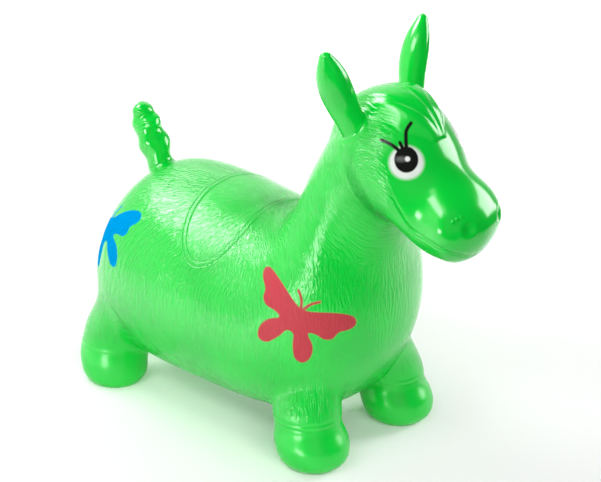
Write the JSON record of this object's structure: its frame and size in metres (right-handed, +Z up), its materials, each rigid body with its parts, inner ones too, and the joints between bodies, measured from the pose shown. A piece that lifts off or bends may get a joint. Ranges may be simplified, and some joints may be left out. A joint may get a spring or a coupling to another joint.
{
  "type": "bouncy horse hopper",
  "caption": "Air-filled soft-PVC ride-on horse that a child sits on and bounces, holding the ears; legs, neck, ears and tail flex and an air plug closes the belly.",
  "frame": {"origin": "on the floor, under the middle of the toy's bounding box", "axes": "+X towards the nose, +Y to the horse's left, +Z up"},
  "size_m": [0.523, 0.2452, 0.4784],
  "materials": {
    "green_pvc": "glossy moulded soft PVC with a fine embossed coat",
    "white_plug": "moulded polyethylene"
  },
  "bodies": {
    "trunk": {"barrel_shell": "green_pvc", "chest_shell": "green_pvc", "neck_band": "green_pvc", "tail_root": "green_pvc", "leg_sleeve_front_left": "green_pvc", "leg_sleeve_front_right": "green_pvc", "leg_sleeve_rear_left": "green_pvc", "leg_sleeve_rear_right": "green_pvc"},
    "head": {"head_shell": "green_pvc", "ear_left_root": "green_pvc", "ear_right_root": "green_pvc"},
    "ear_left": {"ear_left": "green_pvc"},
    "ear_right": {"ear_right": "green_pvc"},
    "tail": {"tail": "green_pvc"},
    "hoof_front_left": {"hoof_front_left": "green_pvc"},
    "hoof_front_right": {"hoof_front_right": "green_pvc"},
    "hoof_rear_left": {"hoof_rear_left": "green_pvc"},
    "hoof_rear_right": {"hoof_rear_right": "green_pvc"},
    "valve_plug": {"valve_plug": "white_plug"}
  },
  "joints": [
    {"name": "neck_nod", "type": "hinge", "parent": "trunk", "child": "head", "pos_m": [0.095, 0, 0.265], "axis": [0, 1, 0], "range_deg": [-8, 8], "stiffness_Nm_per_rad": 70, "deforming": ["neck_band"]},
    {"name": "ear_left_bend", "type": "hinge", "parent": "head", "child": "ear_left", "pos_m": [0.118, 0.0465, 0.4], "axis": [0, 1, 0], "range_deg": [-25, 25], "stiffness_Nm_per_rad": 3, "deforming": ["ear_left_root"]},
    {"name": "ear_right_bend", "type": "hinge", "parent": "head", "child": "ear_right", "pos_m": [0.118, -0.0465, 0.4], "axis": [0, 1, 0], "range_deg": [-25, 25], "stiffness_Nm_per_rad": 3, "deforming": ["ear_right_root"]},
    {"name": "tail_wag", "type": "hinge", "parent": "trunk", "child": "tail", "pos_m": [-0.2035, 0, 0.243], "axis": [1, 0, 0], "range_deg": [-25, 25], "stiffness_Nm_per_rad": 3, "deforming": ["tail_root"]},
    {"name": "leg_squash_front_left", "type": "slide", "parent": "trunk", "child": "hoof_front_left", "axis": [0, 0, 1], "range_m": [0, 0.01], "stiffness_N_per_m": 9000, "deforming": ["leg_sleeve_front_left"]},
    {"name": "leg_squash_front_right", "type": "slide", "parent": "trunk", "child": "hoof_front_right", "axis": [0, 0, 1], "range_m": [0, 0.01], "stiffness_N_per_m": 9000, "deforming": ["leg_sleeve_front_right"]},
    {"name": "leg_squash_rear_left", "type": "slide", "parent": "trunk", "child": "hoof_rear_left", "axis": [0, 0, 1], "range_m": [0, 0.01], "stiffness_N_per_m": 9000, "deforming": ["leg_sleeve_rear_left"]},
    {"name": "leg_squash_rear_right", "type": "slide", "parent": "trunk", "child": "hoof_rear_right", "axis": [0, 0, 1], "range_m": [0, 0.01], "stiffness_N_per_m": 9000, "deforming": ["leg_sleeve_rear_right"]},
    {"name": "plug_pull", "type": "slide", "parent": "trunk", "child": "valve_plug", "axis": [0, 0, -1], "range_m": [0, 0.016]}
  ]
}
